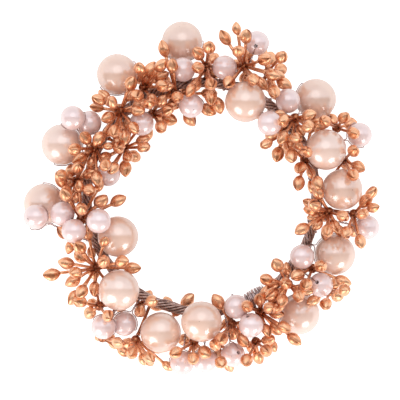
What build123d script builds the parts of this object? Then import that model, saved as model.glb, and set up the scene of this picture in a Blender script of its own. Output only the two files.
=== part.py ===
from build123d import *
import math
import os

import numpy as np

# A wreath-like candle ring seen from above: a steel hoop with a bundle of stem wires bound on it,
# cream pearls and small blush pearls on hairpin wires, and moulded sprays of gilt seeds.
# The ring lies on its pearls on a table, +Z up, and the hoop's centre is over the origin.

# Hoop and bundle, in millimetres
hoop_radius = 56.0
hoop_height = 15.0
hoop_wire_diameter = 2.4
strand_diameter = 1.2
nest_clearance = 0.06
STRAND_COUNT = 8

# Binding wire wound round the bundle
binding_wire_diameter = 0.6
binding_clearance = 0.08

# Pearls and the hairpin wires that carry them
large_pearl_diameter = 20.0
large_bore_diameter = 2.0
small_pearl_diameter = 12.0
small_bore_diameter = 1.8
pearl_wire_diameter = 0.5
wire_clearance = 0.12
mouth_bend_radius = 0.6
fork_bend_radius = 1.0
strand_spacing = 0.64
pearl_spacing = 0.5
least_stem_run = 0.3

# Moulded seed sprays
seed_length = 8.6
seed_diameter = 5.4
seed_tip_length = 1.2
seed_tip_diameter = 0.3
seed_reach = 17.5
least_stem_length = 1.2
stem_base_diameter = 0.9
stem_neck_diameter = 1.4
root_sink = 0.3
root_clearance = 0.15
hub_diameter = 5.2
stalk_diameter = 1.6
least_stalk_length = 0.6
seed_clearance = 0.15

# The free way for the candle, the table, and the bounds that the filling seeds keep within
candle_way_radius = 36.5
table_clearance = 0.6
ring_diameter = 174.0
filling_way_radius = 45.0
filling_ring_diameter = 145.0

# The photograph's frame, in pixels: the ring's middle, the hoop and the candle's free way
RING_CENTRE_PX = (201.5, 197.0)
HOOP_RADIUS_PX = 114.75
CANDLE_CENTRE_PX = (211.0, 209.0)

# Each large pearl: its centre in the photograph's pixels, and its lift off the table
# as a share of its own diameter, before it is raised clear of what lies under it
LARGE_PEARL_SHARES = [
    (182.0, 41.0, 0.0),
    (117.0, 74.0, 0.35),
    (61.5, 144.4, 0.3),
    (43.5, 204.0, 0.0),
    (118.0, 236.5, 0.3),
    (119.0, 290.0, 0.3),
    (160.7, 332.7, 0.0),
    (201.5, 321.4, 0.3),
    (299.7, 314.5, 0.0),
    (335.2, 254.6, 0.2),
    (342.3, 189.5, 0.0),
    (326.0, 149.7, 0.3),
    (316.3, 98.7, 0.0),
    (245.4, 102.0, 0.3),
]

# Each small pearl: its centre in pixels, its lift as a share of the large pearl's diameter,
# and the turn of its bore about its stem, in degrees, from level
SMALL_PEARL_SHARES = [
    (183.0, 69.6, 0.5, 0.0),
    (191.0, 105.6, 0.9, 0.0),
    (224.7, 67.6, 0.9, 0.0),
    (257.0, 43.0, 0.8, 90.0),
    (288.0, 100.8, 0.8, 0.0),
    (269.4, 123.5, 0.9, 0.0),
    (360.0, 134.7, 0.5, 0.0),
    (367.6, 227.3, 0.5, 0.0),
    (302.0, 256.6, 1.0, 0.0),
    (320.7, 285.0, 0.8, 90.0),
    (236.2, 306.6, 0.6, 0.0),
    (251.0, 325.0, 0.8, 90.0),
    (233.0, 355.0, 0.6, 60.0),
    (205.0, 361.0, 0.3, 0.0),
    (182.0, 363.0, 0.5, 0.0),
    (124.2, 324.0, 0.5, 0.0),
    (103.3, 327.0, 0.6, 0.0),
    (62.5, 213.8, 0.8, 0.0),
    (35.7, 217.0, 0.8, 0.0),
    (89.3, 123.0, 0.6, 0.0),
    (72.7, 118.0, 0.6, 0.0),
    (141.6, 123.5, 0.8, 0.0),
    (108.0, 174.0, 0.3, 0.0),
    (99.0, 221.0, 0.3, 0.0),
    (74.0, 231.0, 0.3, 0.0),
]

# The seed sprays of each node. For each spray: its hub in pixels, the hub's lift over the hoop
# as a share of the seeds' reach, and the centre of each photographed seed in pixels
SPRAY_SHARES = {
    "north_west": [
        ((120, 111), 0.35, [
            (138, 111), (127, 95), (110, 119), (115, 131), (134, 128), (112, 102), (131, 84)]),
        ((148, 92), 0.15, [
            (142, 82), (162, 86), (151, 70), (140, 69), (161, 66), (152, 100), (157, 77),
            (138, 96), (140, 78), (150, 84)]),
        ((152, 114), 0.0, [(161, 127), (168, 110), (160, 116), (149, 104), (161, 101)]),
        ((124, 148), 0.0, [(144, 147), (125, 168), (113, 168), (119, 148), (134, 156)])],
    "west_upper": [
        ((92, 148), 0.3, [
            (119, 142), (91, 154), (104, 167), (84, 140), (75, 149), (97, 178), (80, 158)]),
        ((76, 181), 0.0, [(61, 176), (68, 182), (78, 168), (66, 192), (90, 190), (83, 178)])],
    "west": [
        ((81, 220), 0.35, [
            (82, 209), (118, 201), (102, 202), (103, 190), (82, 187), (61, 195), (57, 184),
            (50, 201), (110, 192), (68, 226)])],
    "south_west": [
        ((96, 268), 0.35, [
            (88, 233), (63, 233), (68, 244), (80, 248), (94, 253), (57, 252), (61, 263),
            (52, 274), (76, 272), (111, 248), (104, 261), (122, 262), (132, 268), (65, 288),
            (82, 291), (73, 281)])],
    "south_west_lower": [
        ((99, 306), 0.1, [(92, 303), (90, 314), (108, 316), (120, 306), (80, 302)]),
        ((112, 338), 0.0, [(103, 344), (108, 350), (99, 337), (120, 352), (118, 342)])],
    "south_left": [
        ((138, 338), 0.0, [
            (127, 344), (127, 357), (138, 348), (149, 357), (157, 366), (141, 361), (167, 369),
            (132, 352), (148, 365)]),
        ((140, 306), -0.2, [(140, 312), (145, 296), (133, 296), (152, 301)])],
    "south": [
        ((194, 342), 0.1, [
            (188, 347), (202, 352), (177, 368), (184, 340), (193, 358), (176, 352)]),
        ((176, 312), -0.3, [(182, 306), (187, 301), (168, 302), (156, 305), (176, 316)]),
        ((222, 350), 0.0, [(227, 368), (215, 355), (215, 344), (232, 350), (221, 362)])],
    "south_right": [
        ((232, 324), 0.2, [
            (227, 326), (232, 334), (243, 340), (218, 302), (222, 338), (240, 328)]),
        ((256, 342), 0.0, [(252, 350), (259, 358), (266, 350), (247, 360), (268, 340)])],
    "south_east": [
        ((260, 312), 0.2, [
            (270, 308), (269, 330), (284, 327), (281, 338), (285, 346), (294, 339),
            (276, 319), (247, 307), (276, 329), (275, 344)])],
    "south_east_inner": [
        ((288, 284), 0.35, [
            (285, 283), (272, 283), (266, 279), (283, 293), (272, 294), (300, 290), (285, 271),
            (277, 265), (298, 296)])],
    "east_lower": [
        ((308, 273), 0.2, [(298, 275), (343, 281), (320, 266), (290, 264), (306, 284)]),
        ((326, 292), 0.0, [(338, 296), (326, 304), (314, 300), (335, 284), (344, 290)])],
    "east": [
        ((329, 212), 0.3, [
            (314, 205), (321, 213), (302, 229), (327, 231), (342, 216), (318, 222), (335, 226),
            (314, 216)]),
        ((354, 214), 0.1, [
            (371, 193), (373, 208), (362, 214), (354, 230), (360, 241), (366, 201), (346, 232)])],
    "east_upper": [
        ((307, 162), 0.3, [(300, 168), (299, 183), (311, 173), (317, 183), (306, 152)]),
        ((344, 160), 0.0, [(353, 151), (358, 167), (346, 164), (352, 175)]),
        ((337, 128), 0.0, [(333, 120), (344, 118), (353, 133), (325, 122), (351, 124)])],
    "north_east": [
        ((295, 118), 0.3, [
            (309, 115), (320, 124), (301, 130), (308, 126), (283, 121)]),
        ((286, 136), 0.1, [
            (266, 144), (278, 154), (284, 147), (291, 156), (299, 148), (272, 134), (296, 138)])],
    "north": [
        ((240, 66), 0.3, [
            (229, 34), (237, 29), (238, 52), (246, 37), (252, 62), (264, 60), (250, 52),
            (253, 80), (261, 83), (239, 85), (247, 86)]),
        ((268, 72), 0.1, [
            (281, 57), (271, 58), (281, 69), (284, 83), (270, 85), (262, 52), (274, 92)])],
    "north_left": [
        ((206, 66), 0.3, [
            (198, 54), (209, 48), (213, 58), (202, 70), (211, 84), (210, 97), (214, 72),
            (205, 105)]),
        ((176, 84), 0.2, [
            (164, 49), (174, 53), (170, 66), (186, 91), (168, 94), (178, 98), (190, 118)])],
}

# The binding wire's lie: at each place round the hoop, in degrees, the turns wound so far.
# It is open round most of the ring and close where the bundle lies bare
BINDING_TURNS = [
    (-49.0, 0.0), (-22.0, 1.0), (-14.0, 2.6), (0.0, 3.0), (8.0, 4.6), (50.0, 6.0), (57.0, 7.5),
    (76.0, 8.0), (83.0, 9.5), (128.0, 11.0), (136.0, 12.5), (160.0, 13.2), (178.0, 14.2),
    (245.0, 15.0), (251.0, 15.8), (294.0, 16.0), (304.6, 24.0)]
BINDING_TURN_COUNT = 24
QUARTERS_PER_TURN = 4
BINDING_EASE_TURNS = 0.5
BINDING_EASE_SAMPLES = 21
BINDING_RODS_PER_TURN = 12
BINDING_GAP_SAMPLES_PER_TURN = 48
BINDING_WAY_STEP = 1e-4

# Where a hairpin wire bends out of its bore, in degrees from the bore, and the shares of the way
# round the pearl at which it is kept clear
LARGE_MOUTH_ANGLE = 12.0
SMALL_MOUTH_ANGLE = 15.0
WRAP_SHARES = (0.2, 0.4, 0.6, 0.8)

# The seed's outline: how far out its control points lie, as shares of its half width,
# and how far along, as shares of its length
SEED_SHOULDER_SHARE = 0.75
SEED_FLANK_SHARE = 1.8
SEED_BROW_SHARE = 0.45
SEED_LOW_SHARE = 0.14
SEED_MIDDLE_SHARE = 0.5

# The rods that stand for a seed while it is fitted: start and end along it and thickness, as shares
SEED_ROD_SHARES = [(0.4, 0.52, 1.0), (0.2, 0.75, 0.75), (0.05, 0.9, 0.35)]
STEM_RODS = 3
SEED_SIZE_SHARES = (1.0, 0.88, 0.76)

# How hubs, stems and wires give way to what is already there
HUB_RISES = 30
HUB_MOVES = 5
HUB_MOVE_SHARE = 0.3
LEAN_SIDES = 8
SEAT_STEPS = 40
BUNDLE_ROD_DEGREES = 5
NEAR_UPRIGHT_SHARE = 0.05
NEAR_LEVEL_SHARE = 0.9
BOUND_SHARES = (0.0, 0.25, 0.5, 0.75, 1.0)
ANCHOR_STEPS = (1, 2, 3, 4, 5, 6, 7, 8, 10, 12, 14, 16, 18, 20, 23, 26, 30)
ROLL_STEPS = (10, 20, 30, 45, 60, 75, 90)

# How far a photographed seed may come to lie beside its place, in seed lengths, and how high
# over its hub, as shares of the height that the usual reach gives it
SHIFT_SHARES = (0.0, 0.15, 0.3, 0.5, 0.75, 1.0)
RISE_SHARES = (1.0, 0.8, 0.6, 0.4, 0.2, 0.0, 1.2, -0.25, -0.5)
SHIFT_SIDES = 8
FARTHEST_SHARE = 2.2
LEAST_RISE_SHARE = 0.2

# The seeds that fill a spray between the photographed ones: ways tried from the top down,
# the lowest of them as a share of straight down, and how far out they are tried
FILLED_LIFT_SHARE = 0.0
FILLING_WAYS = 150
FILLING_LOW_SHARE = 0.45
FILLING_REACH_SHARES = (1.0, 0.9, 0.8, 0.7, 0.6)
COVER_SHARE = 1.1
GOLDEN_TURN = math.pi * (3.0 - math.sqrt(5.0))

# How the hub's seam is laid where no stem leaves it: poles tried, and samples along each seam
SEAM_POLES = 160
SEAM_SAMPLES = 19

# Numbers below these count as nothing
TINY = 1e-12
NEARLY_FLAT = 1e-9

# Sizes that follow from those above
mm_per_px = hoop_radius / HOOP_RADIUS_PX
strand_ring_radius = (hoop_wire_diameter + strand_diameter) / 2 + nest_clearance
bundle_radius = strand_ring_radius + strand_diameter / 2
binding_ring_radius = bundle_radius + binding_clearance + binding_wire_diameter / 2
fork_offset = strand_spacing / 2
root_depth = hub_diameter / 2 - root_sink


def unit(vector):
    """The same direction, one unit long."""
    return vector / np.linalg.norm(vector)


def from_photo(px, py, height):
    """The point over the table at a place of the photograph."""
    across = (px - RING_CENTRE_PX[0]) * mm_per_px
    up = (RING_CENTRE_PX[1] - py) * mm_per_px
    return np.array([across, up, height])


def hoop_point(degrees):
    """A point of the hoop's centre line."""
    turn = math.radians(degrees)
    return np.array([hoop_radius * math.cos(turn), hoop_radius * math.sin(turn), hoop_height])


def hoop_tangent(degrees):
    """The way the hoop runs at one of its places."""
    turn = math.radians(degrees)
    return np.array([-math.sin(turn), math.cos(turn), 0.0])


def hoop_angle(point):
    """Where round the hoop a point lies, in degrees."""
    return math.degrees(math.atan2(point[1], point[0]))


def hoop_distance(point):
    """How far a point lies from the hoop's centre line."""
    return math.hypot(math.hypot(point[0], point[1]) - hoop_radius, point[2] - hoop_height)


def segment_distances(start, end, starts, ends):
    """Distances from one straight piece to many others."""
    along = end - start
    others = ends - starts
    between = start - starts
    own = max(float(along @ along), TINY)
    lengths = np.maximum((others * others).sum(1), TINY)
    cross = others @ along
    near = between @ along
    far = (others * between).sum(1)
    splay = own * lengths - cross * cross
    flat = splay < NEARLY_FLAT * own * lengths
    share = np.where(flat, 0.0, (cross * far - near * lengths) / np.where(flat, 1.0, splay))
    share = np.clip(share, 0.0, 1.0)
    other = np.clip((cross * share + far) / lengths, 0.0, 1.0)
    share = np.clip((cross * other - near) / own, 0.0, 1.0)
    apart = between + share[:, None] * along - other[:, None] * others
    return np.sqrt((apart * apart).sum(1))


def free_distance(points, radius, rods):
    """The least distance from a chain of rods to some rods, less the radii."""
    points = list(points)
    if len(points) == 1:
        points = points * 2
    least = math.inf
    for start, end in zip(points, points[1:]):
        apart = segment_distances(start, end, rods[:, 0:3], rods[:, 3:6])
        least = min(least, float((apart - rods[:, 6]).min()) - radius)
    return least


class Crowd:
    """What is already in place, as straight round-ended rods with an owner."""

    def __init__(self):
        self.rods = []
        self.owners = []
        self.table = None

    def add(self, points, radius, owner):
        """Put in a rod for each stretch between the points."""
        points = list(points)
        if len(points) == 1:
            points = points * 2
        for start, end in zip(points, points[1:]):
            self.rods.append([*start, *end, radius])
            self.owners.append(owner)
        self.table = None

    def others(self, skip=()):
        """The rods of all owners but those skipped."""
        if self.table is None:
            self.table = np.array(self.rods)
            self.names = np.array(self.owners)
        return self.table[~np.isin(self.names, list(skip))] if skip else self.table

    def gap(self, points, radius, skip=()):
        """The least free distance from a chain of rods to all that isn't skipped."""
        return free_distance(points, radius, self.others(skip))

    def near(self, centre, distance, skip):
        """The rods of the other owners that come within a distance of a point."""
        rods = self.others(skip)
        apart = segment_distances(centre, centre, rods[:, 0:3], rods[:, 3:6]) - rods[:, 6]
        return rods[apart < distance]


def binding_angle(turns):
    """Where round the hoop the binding wire has come to after some turns, eased over each turn."""
    places = [place for place, _ in BINDING_TURNS]
    counts = [count for _, count in BINDING_TURNS]
    near = turns + np.linspace(-BINDING_EASE_TURNS, BINDING_EASE_TURNS, BINDING_EASE_SAMPLES)
    first_pitch = (places[1] - places[0]) / (counts[1] - counts[0])
    last_pitch = (places[-1] - places[-2]) / (counts[-1] - counts[-2])
    before = first_pitch * np.minimum(near - counts[0], 0.0)
    after = last_pitch * np.maximum(near - counts[-1], 0.0)
    return float(np.mean(np.interp(near, counts, places) + before + after))


def binding_point(turns):
    """A point of the binding wire's centre line."""
    around = math.radians(binding_angle(turns))
    over = 2 * math.pi * turns
    out = hoop_radius + binding_ring_radius * math.cos(over)
    height = hoop_height + binding_ring_radius * math.sin(over)
    return np.array([out * math.cos(around), out * math.sin(around), height])


def binding_tangent(turns):
    """The way the binding wire runs there."""
    return unit(binding_point(turns + BINDING_WAY_STEP) - binding_point(turns - BINDING_WAY_STEP))


def biarc(start, start_way, end, end_way):
    """Two arcs that leave and arrive along the given ways, and meet smoothly."""
    chord = end - start
    ways = start_way + end_way
    bend = 2 * (1 - float(start_way @ end_way))
    run = float(chord @ ways)
    leg = (math.sqrt(run * run + bend * float(chord @ chord)) - run) / bend
    joint = (start + end + leg * (start_way - end_way)) / 2
    joint_way = unit(chord - leg * ways)
    first = TangentArc(tuple(start), tuple(joint), tangent=tuple(start_way))
    second = TangentArc(tuple(joint), tuple(end), tangent=tuple(joint_way))
    return [first, second]


def tube(edges, diameter):
    """A round wire along a path of straights and arcs."""
    path = Wire(edges)
    section = Plane(origin=path @ 0, z_dir=path % 0) * Circle(diameter / 2)
    return sweep(section, path=path)


def make_binding_wire():
    """One unbroken wire, wound in quarter turns of two arcs each."""
    edges = []
    for quarter in range(BINDING_TURN_COUNT * QUARTERS_PER_TURN):
        start = quarter / QUARTERS_PER_TURN
        end = (quarter + 1) / QUARTERS_PER_TURN
        start_way = binding_tangent(start)
        end_way = binding_tangent(end)
        edges += biarc(binding_point(start), start_way, binding_point(end), end_way)
    return tube(edges, binding_wire_diameter)


def binding_self_gap():
    """The least gap between turns of the binding wire, measured on points."""
    steps = BINDING_GAP_SAMPLES_PER_TURN
    points = np.array([binding_point(i / steps) for i in range(BINDING_TURN_COUNT * steps + 1)])
    least = math.inf
    for i in range(len(points)):
        later = points[i + steps // 2:]
        if len(later):
            least = min(least, float(np.sqrt(((later - points[i]) ** 2).sum(1)).min()))
    return least - binding_wire_diameter


def make_ring(radius, height, diameter):
    """A round wire bent into a closed ring."""
    return Pos(0, 0, height) * Torus(radius, diameter / 2)


def make_strands():
    """The stem wires that lie side by side round the hoop wire."""
    rings = []
    for index in range(STRAND_COUNT):
        turn = 2 * math.pi * index / STRAND_COUNT
        radius = hoop_radius + strand_ring_radius * math.cos(turn)
        height = hoop_height + strand_ring_radius * math.sin(turn)
        rings.append(make_ring(radius, height, strand_diameter))
    return rings


class Pearl:
    """A bored pearl and the hairpin wire that carries it."""

    def __init__(self, name, px, py, lift, roll, diameter, bore, mouth_angle):
        self.name = name
        self.radius = diameter / 2
        self.bore = bore
        self.roll = roll
        self.mouth = math.radians(mouth_angle)
        self.centre = from_photo(px, py, self.radius + lift * large_pearl_diameter)
        self.wrap = self.radius + wire_clearance + pearl_wire_diameter / 2
        reach = self.wrap + fork_bend_radius
        self.leave = math.acos((fork_offset + fork_bend_radius) / reach)
        self.fork_height = reach * math.sin(self.leave)

    def least_hoop_distance(self):
        """How near the hoop's centre line the pearl may come, with room for its wire."""
        return self.fork_height + least_stem_run + bundle_radius + wire_clearance

    def raise_clear(self, placed):
        """Lift the pearl until it clears the bundle and the pearls under it."""
        for _ in placed + [self]:
            before = self.centre[2]
            aside = abs(math.hypot(self.centre[0], self.centre[1]) - hoop_radius)
            reach = self.least_hoop_distance()
            if aside < reach:
                need = math.sqrt(reach ** 2 - aside ** 2)
                if abs(self.centre[2] - hoop_height) < need - NEARLY_FLAT:
                    self.centre[2] = hoop_height + need
            for other in placed:
                reach = self.radius + other.radius + pearl_spacing
                aside = math.hypot(*(self.centre - other.centre)[:2])
                if aside < reach:
                    need = math.sqrt(reach ** 2 - aside ** 2)
                    if abs(self.centre[2] - other.centre[2]) < need - NEARLY_FLAT:
                        self.centre[2] = other.centre[2] + need
            if self.centre[2] == before:
                break

    def aim(self, degrees, roll):
        """Point the stem at a place of the hoop and turn the bore about it."""
        target = hoop_point(degrees)
        self.stem_way = unit(target - self.centre)
        level = np.cross(self.stem_way, np.array([0.0, 0.0, 1.0]))
        if np.linalg.norm(level) < NEAR_UPRIGHT_SHARE:
            level = hoop_tangent(degrees)
        level = unit(level)
        upright = np.cross(level, self.stem_way)
        turn = math.radians(roll)
        self.bore_way = unit(level * math.cos(turn) + upright * math.sin(turn))
        half_width = fork_offset + pearl_wire_diameter / 2
        self.stem_end = seat_distance(self.centre, self.stem_way, degrees, half_width)

    def half_route(self):
        """The wire from the middle of the bore to its seat, as straights and arcs: how far each
        point lies along the bore and along the stem."""
        mouth = self.mouth
        leave = self.leave
        bend = mouth_bend_radius
        fork = fork_bend_radius
        wrap = self.wrap
        out = (wrap - bend * (1 + math.sin(mouth))) / math.cos(mouth)
        middle = math.pi / 4 + mouth / 2
        half = (mouth + leave) / 2
        turn = math.pi + leave / 2
        fork_out = fork_offset + fork
        first = (out, 0.0)
        second_mid = (out + bend * math.sin(middle), bend - bend * math.cos(middle))
        second = (out + bend * math.cos(mouth), bend + bend * math.sin(mouth))
        third = (wrap * math.cos(mouth), wrap * math.sin(mouth))
        fourth_mid = (wrap * math.cos(half), wrap * math.sin(half))
        fourth = (wrap * math.cos(leave), wrap * math.sin(leave))
        fifth_mid = (fork_out + fork * math.cos(turn), self.fork_height + fork * math.sin(turn))
        fifth = (fork_offset, self.fork_height)
        sixth = (fork_offset, self.stem_end)
        return [
            [(0.0, 0.0), first],
            [first, second_mid, second],
            [second, third],
            [third, fourth_mid, fourth],
            [fourth, fifth_mid, fifth],
            [fifth, sixth]]

    def place(self, spot, side):
        """A point of the route in the ring's own frame."""
        return self.centre + side * spot[0] * self.bore_way + spot[1] * self.stem_way

    def wire_edges(self):
        """The whole hairpin, from one seat through the bore to the other."""
        route = self.half_route()
        pieces = [[self.place(spot, 1) for spot in piece[::-1]] for piece in route[:0:-1]]
        pieces.append([self.place(route[0][1], 1), self.place(route[0][1], -1)])
        pieces += [[self.place(spot, -1) for spot in piece] for piece in route[1:]]
        edges = []
        for piece in pieces:
            if len(piece) == 2:
                edges.append(Line(tuple(piece[0]), tuple(piece[1])))
            else:
                edges.append(ThreePointArc(tuple(piece[0]), tuple(piece[1]), tuple(piece[2])))
        return edges

    def wire_chains(self):
        """The hairpin outside the pearl, as chains of points for keeping clear."""
        route = self.half_route()
        turns = [self.mouth + (self.leave - self.mouth) * share for share in WRAP_SHARES]
        wrapped = [(self.wrap * math.cos(turn), self.wrap * math.sin(turn)) for turn in turns]
        spots = [route[0][1], *route[1][1:], route[2][1], *wrapped, route[3][2], *route[4][1:], route[5][1]]
        return [[self.place(spot, side) for spot in spots] for side in (1, -1)]

    def make_pearl(self):
        """A ball bored right through."""
        ball = Sphere(self.radius) - Cylinder(self.bore / 2, 3 * self.radius)
        return Plane(origin=tuple(self.centre), z_dir=tuple(self.bore_way)) * ball


def seat_distance(origin, way, degrees, half_width):
    """How far along its way a stem runs before it lies on the bundle at a place of the hoop."""
    slant = abs(float(way @ hoop_tangent(degrees)))
    stop = bundle_radius + wire_clearance + half_width * slant
    low = 0.0
    high = float(np.linalg.norm(hoop_point(degrees) - origin))
    for _ in range(SEAT_STEPS):
        middle = (low + high) / 2
        if hoop_distance(origin + way * middle) > stop:
            low = middle
        else:
            high = middle
    return low


def both_ways(steps):
    """Zero, then each step both ways."""
    return [0] + [sign * step for step in steps for sign in (1, -1)]


def place_pearls():
    """Every pearl in its place, raised clear of the rest."""
    pearls = []
    for index, (px, py, lift) in enumerate(LARGE_PEARL_SHARES, 1):
        pearl = Pearl(f"large_pearl_{index:02d}", px, py, lift, 0.0, large_pearl_diameter,
                      large_bore_diameter, LARGE_MOUTH_ANGLE)
        pearl.raise_clear(pearls)
        pearls.append(pearl)
    for index, (px, py, lift, roll) in enumerate(SMALL_PEARL_SHARES, 1):
        pearl = Pearl(f"small_pearl_{index:02d}", px, py, lift, roll, small_pearl_diameter,
                      small_bore_diameter, SMALL_MOUTH_ANGLE)
        pearl.raise_clear(pearls)
        pearls.append(pearl)
    return pearls


def fit_pearl_wires(pearls, crowd):
    """Choose for each pearl the nearest seat on the bundle that its wire can reach freely."""
    for pearl in pearls:
        best = None
        for roll in both_ways(ROLL_STEPS):
            for offset in both_ways(ANCHOR_STEPS):
                pearl.aim(hoop_angle(pearl.centre) + offset, pearl.roll + roll)
                if pearl.stem_end < pearl.fork_height:
                    continue
                least = math.inf
                for chain in pearl.wire_chains():
                    least = min(least, crowd.gap(chain, pearl_wire_diameter / 2, (pearl.name, "bundle")))
                if best is None or least > best[0]:
                    best = (least, offset, roll)
                if least >= wire_clearance:
                    break
            if best is not None and best[0] >= wire_clearance:
                break
        pearl.aim(hoop_angle(pearl.centre) + best[1], pearl.roll + best[2])
        if best[0] < wire_clearance:
            print("tight wire", pearl.name, round(best[0], 2))
        for chain in pearl.wire_chains():
            crowd.add(chain, pearl_wire_diameter / 2, pearl.name + "_wire")


def in_bounds(points, radius, way_radius, rim_radius):
    """How far a chain of rods keeps off the candle's free way, the rim and the table."""
    candle = from_photo(*CANDLE_CENTRE_PX, 0.0)
    least = math.inf
    for start, end in zip(points, points[1:]):
        for share in BOUND_SHARES:
            point = start + (end - start) * share
            off_way = math.hypot(point[0] - candle[0], point[1] - candle[1]) - way_radius
            off_rim = rim_radius - math.hypot(point[0], point[1])
            least = min(least, off_way, off_rim, point[2] - table_clearance)
    return least - radius


def within_rim(point, radius):
    """A place drawn in towards the middle until a ball there lies inside the ring's rim."""
    share = min(1.0, (ring_diameter / 2 - radius) / math.hypot(point[0], point[1]))
    return point * np.array([share, share, 1.0])


def turned_ways(way, degrees):
    """Ways that lean from one way by an angle, to all sides."""
    helper = np.array([0.0, 0.0, 1.0])
    if abs(way[2]) > NEAR_LEVEL_SHARE:
        helper = np.array([1.0, 0.0, 0.0])
    side = unit(np.cross(way, helper))
    other = np.cross(way, side)
    lean = math.radians(degrees)
    ways = []
    for step in range(LEAN_SIDES):
        turn = 2 * math.pi * step / LEAN_SIDES
        aside = side * math.cos(turn) + other * math.sin(turn)
        ways.append(unit(way * math.cos(lean) + aside * math.sin(lean)))
    return ways


def golden_ways(count, low_share):
    """Ways spread evenly from straight up to a share of straight down."""
    ways = []
    for index in range(count):
        rise = 1.0 - (1.0 + low_share) * (index + 1) / count
        level = math.sqrt(1.0 - rise ** 2)
        turn = GOLDEN_TURN * index
        ways.append(np.array([math.cos(turn) * level, math.sin(turn) * level, rise]))
    return ways


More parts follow.
